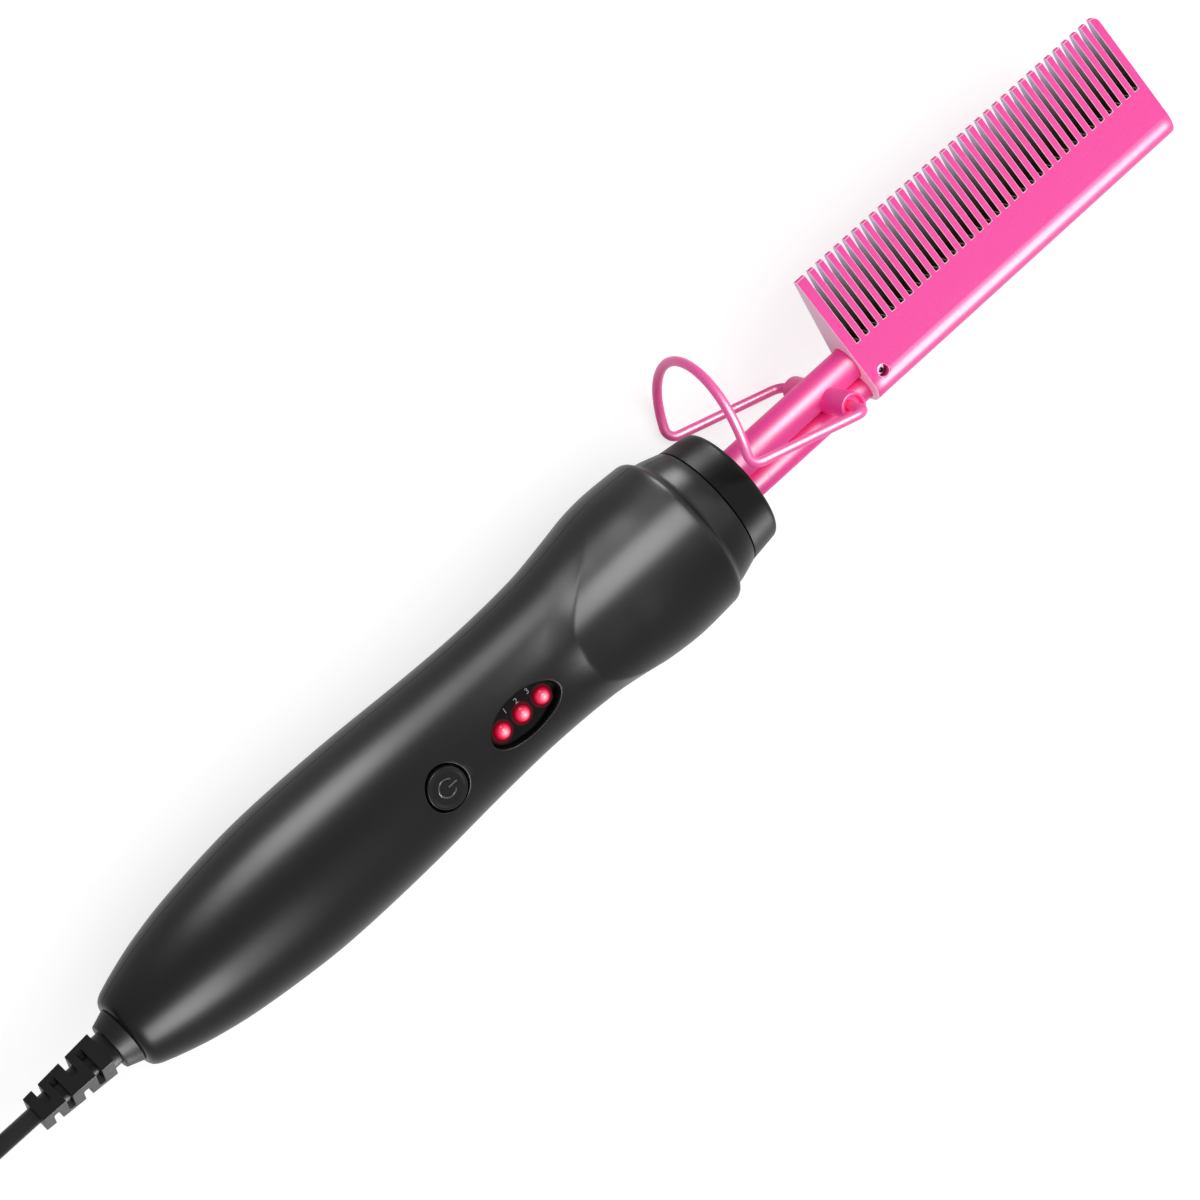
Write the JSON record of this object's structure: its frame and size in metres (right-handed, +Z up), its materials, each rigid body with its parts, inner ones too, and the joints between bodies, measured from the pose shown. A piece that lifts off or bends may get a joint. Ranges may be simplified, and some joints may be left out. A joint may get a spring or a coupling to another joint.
{
  "type": "electric hot comb",
  "caption": "Electric hot comb: wedge-section heated comb on a twin-tube stem, with a contoured handle, a press button, indicator lamps, a swinging wire stand and a mains cord.",
  "frame": {"origin": "under the middle of the comb as it lies on a table, its cord, coil and plug not counted", "axes": "+X along the handle towards the far end of the comb, +Y to the tooth tips, +Z up, out of the button"},
  "size_m": [0.4131, 0.0669, 0.0355],
  "materials": {
    "handle_black": "satin moulded plastic, slightly soft to the touch",
    "collar_black": "smooth satin plastic, a little darker than the handle",
    "insulator": "heat-resistant moulded plastic",
    "window_black": "polished dark lamp window",
    "button_black": "satin button cap",
    "lamp": "red lamp domes",
    "pink_coat": "hot pink heat-resistant coating on aluminium, fine grain",
    "stand_pink": "pink coated spring-steel wire",
    "steel": "plated steel screws",
    "board_green": "solder-masked glass fibre board",
    "capacitor_grey": "moulded capacitor case",
    "component_black": "moulded component body",
    "fuse_glass": "glass fuse tube",
    "ceramic_white": "fired ceramic heating rod",
    "sensor_glass": "glass bead thermistor",
    "cord_rubber": "matt black flexible cord covering",
    "blade_brass": "plug blades",
    "lead_white": "heat-resistant lead insulation",
    "lead_brown": "mains lead insulation"
  },
  "bodies": {
    "handle": {"board_screws": "steel", "capacitor": "capacitor_grey", "circuit_board": "board_green", "clamp_screws": "steel", "comb_head": "pink_coat", "comb_screw": "steel", "cord": "cord_rubber", "cord_bush": "collar_black", "cord_clamp": "collar_black", "cord_coil": "cord_rubber", "cord_sheath": "cord_rubber", "cord_tail": "cord_rubber", "front_collar": "collar_black", "fuse": "fuse_glass", "heat_insulator": "insulator", "heater_leads": "lead_white", "heating_element": "ceramic_white", "indicator_panel": "window_black", "lamp_high": "lamp", "lamp_low": "lamp", "lamp_mid": "lamp", "lower_shell": "handle_black", "mains_leads": "lead_brown", "plug_blades": "blade_brass", "plug_body": "cord_rubber", "sensor_tube": "pink_coat", "shell_screws": "steel", "stand_boss_lower": "pink_coat", "stand_boss_upper": "pink_coat", "stem_tube": "pink_coat", "strain_relief": "cord_rubber", "tact_switch": "component_black", "temperature_sensor": "sensor_glass", "triac": "component_black", "upper_shell": "handle_black"},
    "stand": {"wire_stand": "stand_pink"},
    "button": {"power_button": "button_black", "switch_plunger": "component_black"}
  },
  "joints": [
    {"name": "stand_swing", "type": "hinge", "parent": "handle", "child": "stand", "pos_m": [0.05815, -0.00479, 0.01775], "axis": [0, 0, -1], "range_deg": [-25, 75]},
    {"name": "button_press", "type": "slide", "parent": "handle", "child": "button", "axis": [0, 0, -1], "range_m": [0, 0.0005], "stiffness_N_per_m": 3000}
  ]
}
